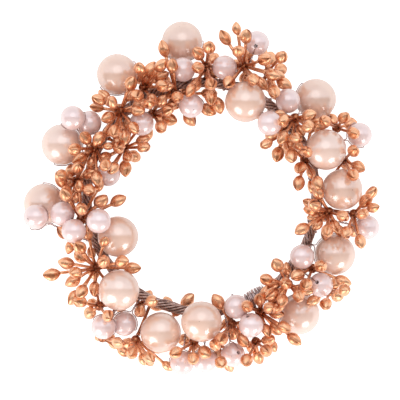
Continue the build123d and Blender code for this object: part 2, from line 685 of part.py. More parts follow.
class Spray:
    """A moulded spray: a stalk, a hub and seeds on tapering stems."""

    def __init__(self, node, index, hub, lift, seeds):
        self.node = node
        self.name = f"{node}_{index}"
        self.targets = sorted(seeds, key=lambda place: -math.dist(place, hub))
        place = from_photo(hub[0], hub[1], hoop_height + lift * seed_reach)
        self.hub = within_rim(place, hub_diameter / 2)
        self.is_filled = lift >= FILLED_LIFT_SHARE
        self.seeds = []

    def seat_hub(self, hub, crowd):
        """Try the hub at a place, and choose the stalk's seat from there."""
        radius = hub_diameter / 2
        if crowd.gap([hub], radius) < seed_clearance:
            return False
        if in_bounds([hub, hub], radius, candle_way_radius, ring_diameter / 2) < 0:
            return False
        for offset in both_ways(ANCHOR_STEPS):
            degrees = hoop_angle(hub) + offset
            way = unit(hoop_point(degrees) - hub)
            length = seat_distance(hub, way, degrees, stalk_diameter / 2)
            stalk = [hub + way * root_depth, hub + way * length]
            free = crowd.gap(stalk, stalk_diameter / 2, ("bundle",)) >= seed_clearance
            if free and length > radius + least_stalk_length:
                self.hub = hub
                self.stalk_way = way
                self.stalk_length = length
                crowd.add(stalk, stalk_diameter / 2, self.name + "_stalk")
                crowd.add([hub], radius, self.name + "_hub")
                return True
        return False

    def fit_hub(self, crowd):
        """Move the hub aside or up little by little until it and its stalk are free."""
        step = hub_diameter * HUB_MOVE_SHARE
        for rise in range(HUB_RISES):
            for aside in range(HUB_MOVES):
                for side in range(LEAN_SIDES if aside else 1):
                    turn = 2 * math.pi * side / LEAN_SIDES
                    move = np.array([math.cos(turn) * aside, math.sin(turn) * aside, rise]) * step
                    if self.seat_hub(self.hub + move, crowd):
                        return True
        return False

    def rods(self, way, reach, size):
        """A seed and its tapering stem, as rods: the seed's first, then the stem's."""
        start = reach - seed_length * size / 2
        chains = []
        for low, high, thick in SEED_ROD_SHARES:
            ends = [start + seed_length * size * low, start + seed_length * size * high]
            chains.append(([self.hub + way * end for end in ends], seed_diameter * size / 2 * thick))
        run = (start - root_depth) / STEM_RODS
        growth = (stem_neck_diameter - stem_base_diameter) / STEM_RODS
        for index in range(STEM_RODS):
            ends = [root_depth + run * index, root_depth + run * (index + 1)]
            thick = stem_base_diameter + growth * (index + 1)
            chains.append(([self.hub + way * end for end in ends], thick / 2))
        return chains

    def look_round(self, crowd):
        """Note all that a seed of this spray could touch."""
        self.around = crowd.near(self.hub, seed_reach * FARTHEST_SHARE, (self.name + "_hub",))

    def is_free(self, way, reach, size, way_radius, rim_radius):
        """Whether a seed there would have a stem and keep clear of all else."""
        if reach - seed_length * size / 2 < hub_diameter / 2 + least_stem_length:
            return False
        for points, radius in self.rods(way, reach, size):
            if in_bounds(points, radius, way_radius, rim_radius) < 0:
                return False
            if free_distance(points, radius, self.around) < seed_clearance:
                return False
        return True

    def take(self, way, reach, size, crowd):
        """Keep a seed and put it among the things already there."""
        self.seeds.append((way, reach, size))
        for points, radius in self.rods(way, reach, size):
            crowd.add(points, radius, self.name)
            ends = [np.array([*start, *end, radius]) for start, end in zip(points, points[1:])]
            self.around = np.vstack([self.around, *ends])

    def fit_seed(self, px, py, shift, crowd):
        """Put a seed over its place in the photograph, or a shift aside, as high as it is free."""
        flat = from_photo(px, py, self.hub[2]) - self.hub
        for side in range(SHIFT_SIDES if shift else 1):
            turn = 2 * math.pi * side / SHIFT_SIDES
            moved = flat + np.array([math.cos(turn), math.sin(turn), 0.0]) * shift * seed_length
            aside = float(np.linalg.norm(moved))
            high = math.sqrt(max(seed_reach ** 2 - aside ** 2, (seed_reach * LEAST_RISE_SHARE) ** 2))
            for size in SEED_SIZE_SHARES:
                for rise in RISE_SHARES:
                    middle = moved + np.array([0.0, 0.0, high * rise])
                    reach = float(np.linalg.norm(middle))
                    if reach > seed_reach * FARTHEST_SHARE - seed_length:
                        continue
                    tried = (middle / reach, reach, size)
                    if self.is_free(*tried, candle_way_radius, ring_diameter / 2):
                        self.take(*tried, crowd)
                        return True
        return False

    def fit_photographed(self, shift, crowd):
        """The photographed seeds that find room so near their places."""
        self.look_round(crowd)
        self.targets = [place for place in self.targets if not self.fit_seed(*place, shift, crowd)]

    def seam_gap(self, seam, way, radius):
        """How far a root that leaves the hub one way keeps off a seam."""
        cosines = np.minimum(seam @ way, 1.0)
        return hub_diameter / 2 * math.sqrt(2 - 2 * float(cosines.max())) - radius

    def lay_seam(self):
        """Turn the hub's seam, half a great circle from pole to pole, to where no root is."""
        best = -math.inf
        turns = np.linspace(0.0, math.pi, SEAM_SAMPLES)
        for pole in golden_ways(SEAM_POLES, 0.0):
            for side in turned_ways(pole, 90):
                seam = np.outer(np.cos(turns), pole) + np.outer(np.sin(turns), side)
                gap = self.seam_gap(seam, self.stalk_way, stalk_diameter / 2)
                for way, _, _ in self.seeds:
                    gap = min(gap, self.seam_gap(seam, way, stem_base_diameter / 2))
                if gap > best:
                    best = gap
                    self.seam = seam
                    self.hub_plane = Plane(origin=tuple(self.hub), x_dir=tuple(side), z_dir=tuple(pole))
        return best

    def fit_filling(self, crowd, pearls):
        """Seeds between the photographed ones, wherever there is room, from the top down."""
        self.look_round(crowd)
        for way in golden_ways(FILLING_WAYS, FILLING_LOW_SHARE):
            if self.seam_gap(self.seam, way, stem_base_diameter / 2) < root_clearance:
                continue
            choices = [(share, size) for size in SEED_SIZE_SHARES for share in FILLING_REACH_SHARES]
            for share, size in choices:
                tried = (way, seed_reach * share, size)
                if hides_pearl(self.hub + way * seed_reach * share, pearls):
                    continue
                if self.is_free(*tried, filling_way_radius, filling_ring_diameter / 2):
                    self.take(*tried, crowd)
                    break

    def make(self):
        """The whole spray as one moulded piece. Stalk and stems start just under the hub's skin."""
        length = self.stalk_length - root_depth
        stalk = Cylinder(stalk_diameter / 2, length, align=(Align.CENTER, Align.CENTER, Align.MIN))
        foot = self.hub + self.stalk_way * root_depth
        pieces = [Plane(origin=tuple(foot), z_dir=tuple(self.stalk_way)) * stalk]
        for way, reach, size in self.seeds:
            pieces.append(Plane(origin=tuple(self.hub), z_dir=tuple(way)) * make_stamen(reach, size))
        return self.hub_plane * Sphere(hub_diameter / 2) + pieces


def hides_pearl(point, pearls):
    """Whether a seed would lie over a pearl's face as the ring is seen from above."""
    for pearl in pearls:
        aside = math.hypot(*(point - pearl.centre)[:2])
        if point[2] > pearl.centre[2] and aside < pearl.radius * COVER_SHARE:
            return True
    return False


def make_stamen(reach, size):
    """A tapering stem and its almond seed with a blunt point, turned in one."""
    length = seed_length * size
    start = reach - length / 2
    end = start + length
    fat = seed_diameter * size / 2
    root = (stem_base_diameter / 2, 0.0, root_depth)
    neck = (stem_neck_diameter / 2, 0.0, start)
    shoulder = (fat * SEED_SHOULDER_SHARE, 0.0, start + length * SEED_LOW_SHARE)
    flank = (fat * SEED_FLANK_SHARE, 0.0, start + length * SEED_MIDDLE_SHARE)
    brow = (fat * SEED_BROW_SHARE, 0.0, end - seed_tip_length * size)
    point = (seed_tip_diameter / 2, 0.0, end)
    outline = [
        Line((0.0, 0.0, root[2]), root),
        Line(root, neck),
        Bezier(neck, shoulder, flank, brow, point),
        Line(point, (0.0, 0.0, end)),
        Line((0.0, 0.0, end), (0.0, 0.0, root[2]))]
    return revolve(make_face(outline), axis=Axis.Z)


def add_bundle(crowd):
    """Put the bundle and the binding wire among the things already there."""
    for index in range(BINDING_TURN_COUNT * BINDING_RODS_PER_TURN):
        turns = [index / BINDING_RODS_PER_TURN, (index + 1) / BINDING_RODS_PER_TURN]
        crowd.add([binding_point(turn) for turn in turns], binding_wire_diameter / 2, "binding")
    for degrees in range(0, 360, BUNDLE_ROD_DEGREES):
        ends = [hoop_point(degrees), hoop_point(degrees + BUNDLE_ROD_DEGREES)]
        crowd.add(ends, bundle_radius, "bundle")


def lay_out():
    """Every pearl, wire and spray in its place, each clear of those before it."""
    crowd = Crowd()
    add_bundle(crowd)
    pearls = place_pearls()
    for pearl in pearls:
        crowd.add([pearl.centre], pearl.radius, pearl.name)
    fit_pearl_wires(pearls, crowd)
    sprays = []
    for name, rows in SPRAY_SHARES.items():
        for index, row in enumerate(rows, 1):
            sprays.append(Spray(f"seed_spray_{name}", index, *row))
    for spray in sprays:
        if not spray.fit_hub(crowd):
            print("no seat for", spray.name)
    for shift in SHIFT_SHARES:
        for spray in sprays:
            spray.fit_photographed(shift, crowd)
    missed = sum(len(spray.targets) for spray in sprays)
    photographed = sum(len(spray.seeds) for spray in sprays)
    for spray in sprays:
        if spray.lay_seam() < root_clearance:
            print("no free seam on the hub of", spray.name)
        if spray.is_filled:
            spray.fit_filling(crowd, pearls)
    seeds = sum(len(spray.seeds) for spray in sprays)
    print("seeds", seeds, "photographed", photographed, "of those without room", missed)
    return pearls, sprays


def main():
    os.makedirs("parts", exist_ok=True)
    pearls, sprays = lay_out()
    export_step(make_ring(hoop_radius, hoop_height, hoop_wire_diameter), "parts/hoop_wire.step")
    export_step(Compound(children=make_strands()), "parts/stem_strands.step")
    export_step(make_binding_wire(), "parts/binding_wire.step")
    print("binding wire's least gap to itself", round(binding_self_gap(), 2))
    for pearl in pearls:
        export_step(pearl.make_pearl(), f"parts/{pearl.name}.step")
    for size in ("large", "small"):
        bent = [pearl.wire_edges() for pearl in pearls if pearl.name.startswith(size)]
        wires = [tube(edges, pearl_wire_diameter) for edges in bent]
        export_step(Compound(children=wires), f"parts/{size}_pearl_wires.step")
    for node in dict.fromkeys(spray.node for spray in sprays):
        moulded = [spray.make() for spray in sprays if spray.node == node]
        export_step(Compound(children=moulded), f"parts/{node}.step")


main()
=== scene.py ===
import math

import bpy
import numpy as np
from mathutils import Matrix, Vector


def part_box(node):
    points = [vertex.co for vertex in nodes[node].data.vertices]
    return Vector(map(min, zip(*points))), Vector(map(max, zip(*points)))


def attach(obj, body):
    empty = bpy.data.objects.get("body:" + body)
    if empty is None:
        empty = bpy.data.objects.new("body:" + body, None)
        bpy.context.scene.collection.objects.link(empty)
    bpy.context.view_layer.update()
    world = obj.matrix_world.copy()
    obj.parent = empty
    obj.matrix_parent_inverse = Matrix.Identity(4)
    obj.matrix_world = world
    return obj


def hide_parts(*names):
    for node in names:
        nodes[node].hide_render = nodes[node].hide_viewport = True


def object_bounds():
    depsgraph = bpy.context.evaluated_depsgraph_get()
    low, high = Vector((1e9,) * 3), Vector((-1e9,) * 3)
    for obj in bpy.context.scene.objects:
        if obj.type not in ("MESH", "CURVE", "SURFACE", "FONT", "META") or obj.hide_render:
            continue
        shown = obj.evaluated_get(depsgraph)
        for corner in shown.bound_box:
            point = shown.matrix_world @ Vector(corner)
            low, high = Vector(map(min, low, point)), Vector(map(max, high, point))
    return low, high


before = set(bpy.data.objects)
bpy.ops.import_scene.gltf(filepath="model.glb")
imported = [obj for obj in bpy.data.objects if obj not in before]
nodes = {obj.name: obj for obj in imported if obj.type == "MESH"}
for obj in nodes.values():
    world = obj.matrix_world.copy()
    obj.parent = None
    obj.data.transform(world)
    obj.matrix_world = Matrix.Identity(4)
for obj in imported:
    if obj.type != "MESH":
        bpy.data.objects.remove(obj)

cad_low, cad_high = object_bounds()
MM = 0.001
BLACK = (0, 0, 0)
WHITE = (1, 1, 1)

# The wire work in metres, as in the part's source.
HOOP_RADIUS = 56.0 * MM
HOOP_HEIGHT = 15.0 * MM
STRAND_COUNT = 8
STRAND_RADIUS = 0.6 * MM
STRAND_RING = 1.86 * MM
BINDING_RADIUS = 0.3 * MM
BINDING_CLEARANCE = 0.08 * MM
BINDING_RING = STRAND_RING + STRAND_RADIUS + BINDING_CLEARANCE + BINDING_RADIUS
BINDING_TURN_COUNT = 24
# Degrees round the hoop, and the turns made by then.
BINDING_TURNS = [
    (-49.0, 0.0), (-22.0, 1.0), (-14.0, 2.6), (0.0, 3.0), (8.0, 4.6), (50.0, 6.0), (57.0, 7.5),
    (76.0, 8.0), (83.0, 9.5), (128.0, 11.0), (136.0, 12.5), (160.0, 13.2), (178.0, 14.2),
    (245.0, 15.0), (251.0, 15.8), (294.0, 16.0), (304.6, 24.0)]
WIRE_RADIUS = 0.25 * MM
WIRE_CLEARANCE = 0.12 * MM
MOUTH_BEND = 0.6 * MM
FORK_BEND = 1.0 * MM
FORK_OFFSET = 0.32 * MM

# The wire work that the scene adds: the strands' lay, the lashing's second layer, the twisted legs.
STRAND_TWISTS = 14
STRAND_STEPS = 480
STRAND_SIDES = 10
LASHING_START = 292.0
LASHING_END = 304.5
LASHING_TURNS = 14
LASHING_CLEARANCE = 0.02 * MM
LASHING_RING = BINDING_RING + 2 * BINDING_RADIUS + LASHING_CLEARANCE
LASHING_RISE = 1.2 * MM
LASHING_SWAY = 0.15
COIL_STEPS = 28
COIL_SIDES = 12
TWIST_PITCH = 3.4 * MM
TWIST_STEPS = 14
MOUTH_STEPS = 8
WRAP_STEPS = 22
WRAP_LEAD = 0.04
FORK_STEPS = 7
WIRE_SIDES = 8
WIRE_SLACK = 0.98

# Pearls: their rings of points, and their unevenness as shares of the radius.
PEARL_SIDES = 72
PEARL_STEPS = 45
PEARL_SWELL = 0.006
PEARL_RIPPLE = 0.0016
LARGE_PEARL_SEED = 1000
SMALL_PEARL_SEED = 1500

# Seed sprays. A pair is the range of a random draw.
SPRAY_SEED = 77
SEED_SIDES = 32
SEED_STEPS = 26
SEED_PLUMPNESS = 1.19
SEED_OVERLENGTH = 0.35 * MM
SEED_NECK = 0.74 * MM
SEED_FLATNESS = (0.84, 0.97)
SEED_BEND = (0.0, 0.045)
CREASE_WIDTH = (0.14, 0.42)
CREASE_DEPTH = (0.06, 0.15)
CREASE_SLANT = (-0.5, 0.5)
NUB_RADIUS = 0.34 * MM
STEM_SIDES = 10
STEM_STEP = 1.2 * MM
STEM_OVERLAP = 0.35 * MM
STEM_RADIUS = 0.62 * MM
STEM_GROWTH = 0.20 * MM
STEM_FLARE = 0.26 * MM
STEM_FLARE_LENGTH = 0.9 * MM
STEM_SWAY = 0.18 * MM
STEM_SWAY_LENGTH = 6.0 * MM
HUB_RADIUS = 2.6 * MM
HUB_SIDES = 24
HUB_STEPS = 16
HUB_OPENING = 0.08
ROOT_DEPTH = 2.07 * MM
STALK_SIDES = 14
STALK_STEPS = 10
STALK_RADIUS = 0.78 * MM
STALK_FLARE = 0.35 * MM
STALK_FLARE_LENGTH = 0.8 * MM

# How the surfaces of a CAD node are told apart.
TINY = 1e-9
END_BAND = 0.12 * MM
LEG_RADIUS = 0.32 * MM
LEG_LENGTH = 0.2 * MM
LEG_MISMATCH = 0.06 * MM
STEM_MISS = 0.1 * MM
STEM_GAP = 2.2 * MM
HUB_MISMATCH = 0.05 * MM
HUB_MISS = 0.03 * MM
SEED_LENGTH = 5.5 * MM
SEED_RADIUS = 1.6 * MM
STALK_LENGTH = 0.4 * MM
STALK_RADII = (0.74 * MM, 0.86 * MM)

# The photo's side, the ring's centre in it and the size of its pixels, and the floor and the camera.
PHOTO_SIDE = 400
PHOTO_CENTRE = (201.5, 197.0)
PIXEL = HOOP_RADIUS / 114.75
FLOOR_SIDE = 6.0
FLOOR_DROP = 0.4 * MM
CAMERA_DISTANCE = 4.0
RING_MIDDLE = 22.0 * MM
SENSOR = 36.0


# Mesh helpers.

def unit(v):
    """A vector's way, with a length of one."""
    return v / np.linalg.norm(v)


def cross_frame(way):
    """Two ways square to one way and to each other."""
    helper = np.array([0.0, 0.0, 1.0]) if abs(way[2]) < 0.9 else np.array([1.0, 0.0, 0.0])
    side = unit(np.cross(way, helper))
    return side, np.cross(way, side)


def circle(count):
    """Even angles round a circle."""
    return np.linspace(0, 2 * math.pi, count, endpoint=False)


def ring(centre, reach, turns, side, up):
    """Points round a centre in the plane of two ways, at one reach or at one for each turn."""
    return centre + np.outer(reach * np.cos(turns), side) + np.outer(reach * np.sin(turns), up)


def islands(obj):
    """The separate surfaces of a CAD node, as arrays of their points."""
    points = np.zeros(len(obj.data.vertices) * 3)
    obj.data.vertices.foreach_get("co", points)
    points = points.reshape(-1, 3)
    edges = np.zeros(len(obj.data.edges) * 2, int)
    obj.data.edges.foreach_get("vertices", edges)
    a, b = edges.reshape(-1, 2).T
    label = np.arange(len(points))
    while True:
        low = np.minimum(label[a], label[b])
        before = label.copy()
        np.minimum.at(label, a, low)
        np.minimum.at(label, b, low)
        label = label[label]
        if np.array_equal(before, label):
            break
    return [points[label == name] for name in np.unique(label)]


def spine(points):
    """A turned surface's long axis from its wider end to its narrower, its length and its radius."""
    middle = points.mean(0)
    _, _, ways = np.linalg.svd(points - middle, full_matrices=False)
    along = (points - middle) @ ways[0]
    ends = []
    for end in (along.min(), along.max()):
        rim = np.unique(np.round(points[np.abs(along - end) < END_BAND], 7), axis=0)
        centre = rim.mean(0)
        ends.append((np.linalg.norm(rim - centre, axis=1).max(), centre))
    ends.sort(key=lambda item: -item[0])
    wide, thin = ends[0][1], ends[1][1]
    length = np.linalg.norm(thin - wide)
    if length < TINY:
        return wide, thin, 0.0, 0.0
    axis = (thin - wide) / length
    out = points - wide
    radius = np.linalg.norm(out - np.outer(out @ axis, axis), axis=1).max()
    return wide, thin, length, radius


def sphere_of(points):
    """The sphere that fits some points best: its centre, its radius and the worst miss."""
    middle = points.mean(0)
    local = points - middle
    table = np.hstack([2 * local, np.ones((len(points), 1))])
    found = np.linalg.lstsq(table, (local * local).sum(1), rcond=None)[0]
    radius = math.sqrt(max(found[3] + found[:3] @ found[:3], 0.0))
    miss = np.abs(np.linalg.norm(local - found[:3], axis=1) - radius).max()
    return middle + found[:3], radius, miss


class Build:
    """Gathers rings of points into one mesh with a tone for each point."""

    def __init__(self):
        self.points = []
        self.tones = []
        self.faces = []
        self.count = 0

    def grid(self, rows, tones, capped=True):
        """Rows of closed rings, with one face over each end if capped."""
        rows = np.asarray(rows)
        n, m, _ = rows.shape
        self.points.append(rows.reshape(-1, 3))
        self.tones.append(np.asarray(tones, float).reshape(-1))
        index = self.count + np.arange(n * m).reshape(n, m)
        after = np.roll(index, -1, 1)
        quads = np.stack([index[:-1], after[:-1], after[1:], index[1:]], -1).reshape(-1, 4)
        self.faces += quads.tolist()
        if capped:
            self.faces += [index[0, ::-1].tolist(), index[-1].tolist()]
        self.count += n * m

    def tube(self, path, radius, sides, tones=1.0):
        """A round wire along a path, its rings carried along without twist."""
        path = np.asarray(path)
        ways = np.gradient(path, axis=0)
        ways /= np.linalg.norm(ways, axis=1)[:, None]
        side, _ = cross_frame(ways[0])
        turns = circle(sides)
        rows = []
        for point, way, thick in zip(path, ways, np.broadcast_to(radius, len(path))):
            side = unit(side - way * (side @ way))
            rows.append(ring(point, thick, turns, side, np.cross(way, side)))
        self.grid(rows, np.repeat(np.broadcast_to(tones, len(path)), sides))

    def finish(self, name, material, slot, *replaced):
        """Makes the mesh an object of the root body that stands for CAD nodes."""
        mesh = bpy.data.meshes.new(name)
        points = np.concatenate(self.points)
        mesh.from_pydata(points.tolist(), [], self.faces)
        tones = mesh.attributes.new("tone", "FLOAT", "POINT")
        tones.data.foreach_set("value", np.concatenate(self.tones))
        mesh.shade_smooth()
        mesh.materials.append(material)
        obj = bpy.data.objects.new(name, mesh)
        bpy.context.scene.collection.objects.link(obj)
        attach(obj, "root")
        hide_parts(*replaced)


def lumps(rng, count, low, high):
    """Soft uneven swelling over space: a few waves of random ways."""
    ways = rng.normal(size=(count, 3))
    ways /= np.linalg.norm(ways, axis=1)[:, None]
    scale = rng.uniform(low, high, count)
    phase = rng.uniform(0, 2 * math.pi, count)

    def swell(points):
        return np.sin(points @ (ways * scale[:, None]).T + phase).mean(-1)
    return swell


# Shader helpers.

def new_material(name):
    """A material with its node tree and its shader."""
    material = bpy.data.materials.new(name)
    material.use_nodes = True
    tree = material.node_tree
    return material, tree, tree.nodes["Principled BSDF"]


def add(tree, kind, **values):
    """A node, with its properties and sockets set by name."""
    node = tree.nodes.new(kind)
    for key, value in values.items():
        if key in node.bl_rna.properties:
            setattr(node, key, value)
        else:
            node.inputs[key.replace("_", " ")].default_value = value
    return node


def noise(tree, scale, detail=4.0, roughness=0.55):
    """A noise over the object's own space."""
    coords = add(tree, "ShaderNodeTexCoord")
    node = add(tree, "ShaderNodeTexNoise", Scale=scale, Detail=detail, Roughness=roughness)
    tree.links.new(coords.outputs["Object"], node.inputs["Vector"])
    return node.outputs["Fac"]


def ramp(tree, source, stops):
    """Colours by a socket's value, from places and their colours."""
    node = add(tree, "ShaderNodeValToRGB")
    elements = node.color_ramp.elements
    elements.remove(elements[1])
    elements[0].position = stops[0][0]
    elements[0].color = (*stops[0][1], 1)
    for place, colour in stops[1:]:
        elements.new(place).color = (*colour, 1)
    tree.links.new(source, node.inputs["Fac"])
    return node.outputs["Color"]


def mix(tree, factor, first, second):
    """A socket's colour that turns into a plain one as the factor rises."""
    node = add(tree, "ShaderNodeMix", data_type="RGBA")
    tree.links.new(factor, node.inputs[0])
    tree.links.new(first, node.inputs[6])
    node.inputs[7].default_value = (*second, 1)
    return node.outputs[2]


def scaled(tree, source, factor, added=None):
    """A socket's value times a number, with another socket's value added."""
    node = add(tree, "ShaderNodeMath", operation="MULTIPLY_ADD")
    tree.links.new(source, node.inputs[0])
    node.inputs[1].default_value = factor
    node.inputs[2].default_value = 0.0
    if added is not None:
        tree.links.new(added, node.inputs[2])
    return node.outputs[0]


def vary_roughness(tree, shader, source, smooth, rough):
    """Lets the roughness wander between two values."""
    varied = ramp(tree, source, [(0.3, (smooth,) * 3), (0.7, (rough,) * 3)])
    tree.links.new(varied, shader.inputs["Roughness"])


def bump(tree, shader, source, strength, distance):
    """Fine relief from a noise."""
    node = add(tree, "ShaderNodeBump", Strength=strength, Distance=distance)
    tree.links.new(source, node.inputs["Height"])
    tree.links.new(node.outputs["Normal"], shader.inputs["Normal"])


# Materials.

def pearl_material(name, light, deep, speck):
    """Pearl lacquer: a milky body under a strongly mirroring soft coat, faint cloudiness and a few pits."""
    material, tree, shader = new_material(name)
    body = ramp(tree, noise(tree, 160.0, 3.0, 0.5), [(0.3, deep), (0.7, light)])
    pits = ramp(tree, noise(tree, 700.0, 1.0, 0.4), [(0.79, BLACK), (0.82, WHITE)])
    tree.links.new(mix(tree, pits, body, speck), shader.inputs["Base Color"])
    vary_roughness(tree, shader, noise(tree, 420.0), 0.3, 0.42)
    bump(tree, shader, noise(tree, 2600.0, 3.0, 0.6), 0.06, 0.0002)
    shader.inputs["Metallic"].default_value = 0.0
    shader.inputs["IOR"].default_value = 1.5
    shader.inputs["Coat Weight"].default_value = 1.0
    shader.inputs["Coat Roughness"].default_value = 0.2
    shader.inputs["Coat IOR"].default_value = 2.7
    shader.inputs["Sheen Weight"].default_value = 0.3
    shader.inputs["Sheen Roughness"].default_value = 0.35
    shader.inputs["Sheen Tint"].default_value = (1.0, 0.93, 0.89, 1.0)
    return material


def gilt_material(name, bright, mid, deep):
    """Satin rose-gold painted finish: painted light, brighter on the ridges, painted shade, brown in the
    creases, rubbed and uneven.
    """
    material, tree, shader = new_material(name)
    # The tone attribute carries painted shade and light: low in the seeds' creases, toward their ends and
    # at the stems' roots, high on the ridges; the noise adds uneven tone.
    tone = add(tree, "ShaderNodeAttribute", attribute_name="tone").outputs["Fac"]
    shade = scaled(tree, noise(tree, 420.0, 5.0, 0.6), 0.4, tone)
    paint_and_shade = ramp(tree, shade, [(0.3, deep), (0.8, mid), (1.0, bright)])
    worn = ramp(tree, noise(tree, 1500.0, 2.0, 0.5), [(0.6, BLACK), (0.74, (0.55, 0.55, 0.55))])
    tree.links.new(mix(tree, worn, paint_and_shade, bright), shader.inputs["Base Color"])
    vary_roughness(tree, shader, noise(tree, 700.0), 0.2, 0.38)
    bump(tree, shader, noise(tree, 1900.0, 5.0, 0.65), 0.22, 0.0003)
    shader.inputs["Metallic"].default_value = 0.9
    shader.inputs["Coat Weight"].default_value = 0.2
    shader.inputs["Coat Roughness"].default_value = 0.22
    return material


def wire_material(name, bright, deep, dullest):
    """Drawn craft wire: fine scuffs and slight tarnish."""
    material, tree, shader = new_material(name)
    tarnish = ramp(tree, noise(tree, 300.0, 5.0, 0.6), [(0.3, deep), (0.65, bright)])
    tree.links.new(tarnish, shader.inputs["Base Color"])
    vary_roughness(tree, shader, noise(tree, 1400.0, 3.0), 0.2, dullest)
    bump(tree, shader, noise(tree, 3200.0, 2.0, 0.5), 0.25, 0.0002)
    shader.inputs["Metallic"].default_value = 1.0
    return material


CREAM = [
    pearl_material("cream_pearl_a", (0.93, 0.645, 0.520), (0.90, 0.595, 0.460), (0.30, 0.15, 0.10)),
    pearl_material("cream_pearl_b", (0.92, 0.615, 0.485), (0.89, 0.565, 0.425), (0.30, 0.15, 0.10)),
    pearl_material("cream_pearl_c", (0.94, 0.675, 0.565), (0.91, 0.630, 0.515), (0.32, 0.17, 0.12))]
BLUSH = [
    pearl_material("blush_pearl_a", (0.94, 0.72, 0.70), (0.91, 0.66, 0.64), (0.32, 0.19, 0.18)),
    pearl_material("blush_pearl_b", (0.95, 0.75, 0.74), (0.92, 0.69, 0.68), (0.32, 0.19, 0.18))]
GILT = [
    gilt_material("gilt_a", (0.92, 0.49, 0.28), (0.66, 0.245, 0.105), (0.15, 0.030, 0.010)),
    gilt_material("gilt_b", (0.94, 0.53, 0.31), (0.70, 0.275, 0.121), (0.18, 0.036, 0.012)),
    gilt_material("gilt_c", (0.89, 0.45, 0.25), (0.62, 0.217, 0.089), (0.13, 0.025, 0.009))]
SILVER = wire_material("silver_wire", (0.72, 0.58, 0.56), (0.24, 0.15, 0.14), 0.34)
TARNISHED = wire_material("tarnished_wire", (0.62, 0.44, 0.38), (0.20, 0.11, 0.085), 0.4)
STEEL = wire_material("hoop_steel", (0.42, 0.36, 0.34), (0.20, 0.15, 0.13), 0.5)


# The bundle on the hoop.

def hoop_turn(degrees, out, over):
    """Points beside the hoop's centre line: out from it, and how far round its section."""
    around = np.radians(degrees)
    reach = HOOP_RADIUS + out * np.cos(over)
    return np.stack([reach * np.cos(around), reach * np.sin(around), HOOP_HEIGHT + out * np.sin(over)], -1)


def coil_turns(count):
    """Turns made at each point of a coiled wire."""
    return np.linspace(0, count, count * COIL_STEPS + 1)


def binding_angle(turns):
    """Degrees round the hoop by turns made: straight runs, averaged over one turn."""
    places, counts = zip(*BINDING_TURNS)
    near = turns[:, None] + np.linspace(-0.5, 0.5, 21)
    first = (places[1] - places[0]) / (counts[1] - counts[0])
    last = (places[-1] - places[-2]) / (counts[-1] - counts[-2])
    before = first * np.minimum(near - counts[0], 0)
    after = last * np.maximum(near - counts[-1], 0)
    return (np.interp(near, counts, places) + before + after).mean(1)


def lashing_path():
    """The wire's second layer, laid back over the close turns at its end."""
    turns = coil_turns(LASHING_TURNS)
    share = turns / LASHING_TURNS
    degrees = LASHING_END + (LASHING_START - LASHING_END) * share + LASHING_SWAY * np.sin(turns * 2.6)
    rise = LASHING_RISE * np.sin(math.pi * share) * (0.88 + 0.12 * np.sin(turns * 4.1))
    return hoop_turn(degrees, LASHING_RING + rise, -2 * math.pi * turns)


def make_strands():
    """The stem wires of the bundle, laid round the hoop like a rope's strands."""
    build = Build()
    steps = np.linspace(0, 360, STRAND_STEPS, endpoint=False)
    turns = circle(STRAND_SIDES)
    for index in range(STRAND_COUNT):
        over = 2 * math.pi * (index / STRAND_COUNT + STRAND_TWISTS * steps / 360)
        path = hoop_turn(steps, STRAND_RING, over)
        rows = []
        for point, way in zip(path, np.roll(path, -1, 0) - np.roll(path, 1, 0)):
            way = unit(way)
            side = unit(np.cross(way, np.array([0.0, 0.0, 1.0])))
            rows.append(ring(point, STRAND_RADIUS, turns, side, np.cross(side, way)))
        rows.append(rows[0])
        tones = 0.7 + 0.3 * np.sin(np.repeat(np.arange(len(rows)) * 0.21 + index, STRAND_SIDES))
        build.grid(rows, tones, capped=False)
    build.finish("laid_strands", TARNISHED, "silver_wire", "stem_strands")


def make_binding():
    """The wire wound round the bundle, with the lashing at its end."""
    build = Build()
    turns = coil_turns(BINDING_TURN_COUNT)
    path = hoop_turn(binding_angle(turns), BINDING_RING, 2 * math.pi * turns)
    build.tube(path, BINDING_RADIUS, COIL_SIDES)
    build.tube(lashing_path(), BINDING_RADIUS, COIL_SIDES)
    build.finish("wound_binding_wire", SILVER, "silver_wire", "binding_wire")


def dress_hoop():
    """The hoop keeps its CAD mesh and gets a steel look."""
    mesh = nodes["hoop_wire"].data
    mesh.materials.clear()
    mesh.materials.append(STEEL)
    for polygon in mesh.polygons:
        polygon.use_smooth = True


# Pearls and their wires.

